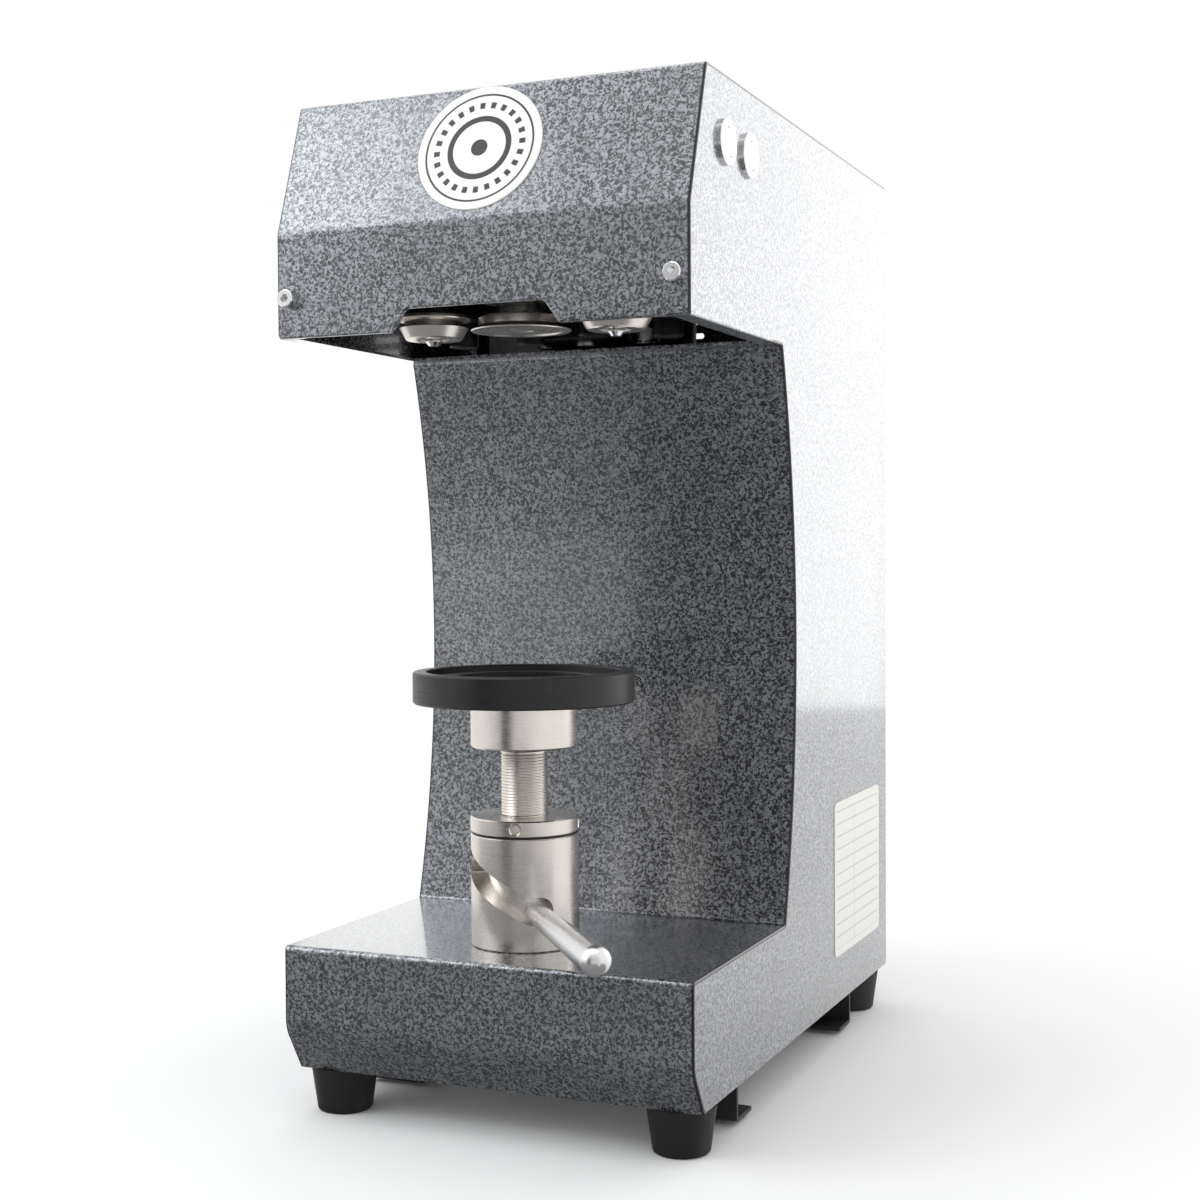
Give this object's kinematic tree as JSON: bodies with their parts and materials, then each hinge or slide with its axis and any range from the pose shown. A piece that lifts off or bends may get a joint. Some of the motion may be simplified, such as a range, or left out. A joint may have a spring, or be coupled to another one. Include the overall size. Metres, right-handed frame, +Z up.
{
  "type": "can seamer",
  "caption": "Bench-top can seamer: sheet-metal C-frame case, hand-levered lifting turntable below, driven chuck between two cam-closed seaming rollers in the head.",
  "frame": {"origin": "on the table under the centre of the machine box, on the plane of symmetry of the case", "axes": "+Z up, -Y towards the operator, +X to the operator's right"},
  "size_m": [0.2142, 0.4006, 0.495],
  "materials": {
    "hammered_charcoal": "hammertone powder coat",
    "stainless": "turned and satin brushed",
    "bright_steel": "polished",
    "frame_steel": "zinc plated",
    "black_plastic": "turned satin plastic",
    "black_rubber": "matt",
    "black_bracket": "textured black powder coat",
    "dark_tool_steel": "hardened and blackened",
    "motor_black": "satin",
    "circuit": "solder mask",
    "plate_pale": "printed film",
    "belt_black": "moulded"
  },
  "bodies": {
    "root": {"arm_pivot_left": "stainless", "arm_pivot_right": "stainless", "arm_springs": "stainless", "base_plate": "frame_steel", "board_bracket": "frame_steel", "button_bodies": "stainless", "cam_gearmotor": "motor_black", "column_plate_left": "frame_steel", "column_plate_right": "frame_steel", "control_board": "circuit", "drive_belt": "belt_black", "drive_motor": "motor_black", "feet": "black_rubber", "foot_screws": "frame_steel", "frame_bolts": "frame_steel", "front_badge": "plate_pale", "front_skin": "hammered_charcoal", "head_cover": "hammered_charcoal", "head_cover_screws": "bright_steel", "head_plate": "frame_steel", "hook_brackets": "black_bracket", "lift_barrel": "stainless", "lift_pedestal": "frame_steel", "pivot_collars": "stainless", "power_socket": "black_plastic", "rating_plate": "plate_pale", "rear_panel": "hammered_charcoal", "rear_panel_screws": "frame_steel", "side_panel_left": "hammered_charcoal", "side_panel_right": "hammered_charcoal", "spindle_bearings": "stainless", "spindle_housing": "motor_black", "stop_posts": "frame_steel"},
    "lift_collar": {"lock_ring": "stainless", "ring_washer": "black_plastic"},
    "lift_cylinder_and_lever": {"lift_cylinder": "stainless", "lever": "bright_steel"},
    "height_spindle": {"threaded_spindle": "stainless", "turntable_bearing": "stainless"},
    "turntable": {"turntable_hub": "stainless", "can_plate": "black_plastic", "can_plate_screws": "stainless"},
    "chuck_shaft": {"chuck": "stainless", "chuck_screw": "bright_steel", "chuck_spindle": "stainless", "spindle_pulley": "frame_steel"},
    "motor_rotor": {"motor_shaft": "stainless", "motor_pulley": "frame_steel"},
    "cam_rotor": {"cam": "dark_tool_steel", "cam_shaft": "stainless"},
    "arm_right": {"roller_arm_right": "dark_tool_steel", "arm_pins_right": "dark_tool_steel"},
    "arm_left": {"roller_arm_left": "dark_tool_steel", "arm_pins_left": "dark_tool_steel"},
    "roller_right": {"seaming_roller_right": "stainless"},
    "roller_left": {"seaming_roller_left": "stainless"},
    "follower_right": {"cam_follower_right": "stainless"},
    "follower_left": {"cam_follower_left": "stainless"},
    "start_cap": {"start_button": "stainless"},
    "stop_cap": {"stop_button": "stainless"}
  },
  "joints": [
    {"name": "lift_slide", "type": "slide", "parent": "root", "child": "lift_collar", "axis": [0, 0, 1], "range_m": [0, 0.0235]},
    {"name": "lever_turn", "type": "hinge", "parent": "lift_collar", "child": "lift_cylinder_and_lever", "pos_m": [0, -0.09158, 0.1037], "axis": [0, 0, -1], "range_deg": [0, 100]},
    {"name": "height_adjust", "type": "slide", "parent": "lift_cylinder_and_lever", "child": "height_spindle", "axis": [0, 0, 1], "range_m": [-0.033, 0.037]},
    {"name": "turntable_spin", "type": "hinge", "parent": "height_spindle", "child": "turntable", "pos_m": [0, -0.09158, 0.1885], "axis": [0, 0, 1], "continuous": true},
    {"name": "chuck_spin", "type": "hinge", "parent": "root", "child": "chuck_shaft", "pos_m": [0, -0.09158, 0.4225], "axis": [0, 0, 1], "continuous": true},
    {"name": "motor_spin", "type": "hinge", "parent": "root", "child": "motor_rotor", "pos_m": [0, 0.07342, 0.4225], "axis": [0, 0, 1], "continuous": true},
    {"name": "cam_turn", "type": "hinge", "parent": "root", "child": "cam_rotor", "pos_m": [0, -0.01158, 0.4025], "axis": [0, 0, 1], "range_deg": [-45, 45]},
    {"name": "right_arm_swing", "type": "hinge", "parent": "root", "child": "arm_right", "pos_m": [0.057, -0.04158, 0.4005], "axis": [0, 0, 1], "range_deg": [-7.7, 7.7]},
    {"name": "left_arm_swing", "type": "hinge", "parent": "root", "child": "arm_left", "pos_m": [-0.057, -0.04158, 0.4005], "axis": [0, 0, 1], "range_deg": [-7.7, 7.7]},
    {"name": "right_roller_spin", "type": "hinge", "parent": "arm_right", "child": "roller_right", "pos_m": [0.049, -0.08958, 0.3875], "axis": [0, 0, 1], "continuous": true},
    {"name": "left_roller_spin", "type": "hinge", "parent": "arm_left", "child": "roller_left", "pos_m": [-0.049, -0.08958, 0.3875], "axis": [0, 0, 1], "continuous": true},
    {"name": "right_follower_spin", "type": "hinge", "parent": "arm_right", "child": "follower_right", "pos_m": [0.02782, -0.00034, 0.3885], "axis": [0, 0, 1], "continuous": true},
    {"name": "left_follower_spin", "type": "hinge", "parent": "arm_left", "child": "follower_left", "pos_m": [-0.02782, -0.00034, 0.3885], "axis": [0, 0, 1], "continuous": true},
    {"name": "start_button_press", "type": "slide", "parent": "root", "child": "start_cap", "axis": [-1, 0, 0], "range_m": [0, 0.0015], "stiffness_N_per_m": 400},
    {"name": "stop_button_press", "type": "slide", "parent": "root", "child": "stop_cap", "axis": [-1, 0, 0], "range_m": [0, 0.0015], "stiffness_N_per_m": 400}
  ],
  "couplings": [
    {"joint": "lift_slide", "follows": "lever_turn", "m_per_rad": 0.013465},
    {"joint": "motor_spin", "follows": "chuck_spin", "ratio": 2},
    {"joint": "right_arm_swing", "follows": "cam_turn", "ratio": -0.17},
    {"joint": "left_arm_swing", "follows": "cam_turn", "ratio": -0.17}
  ]
}
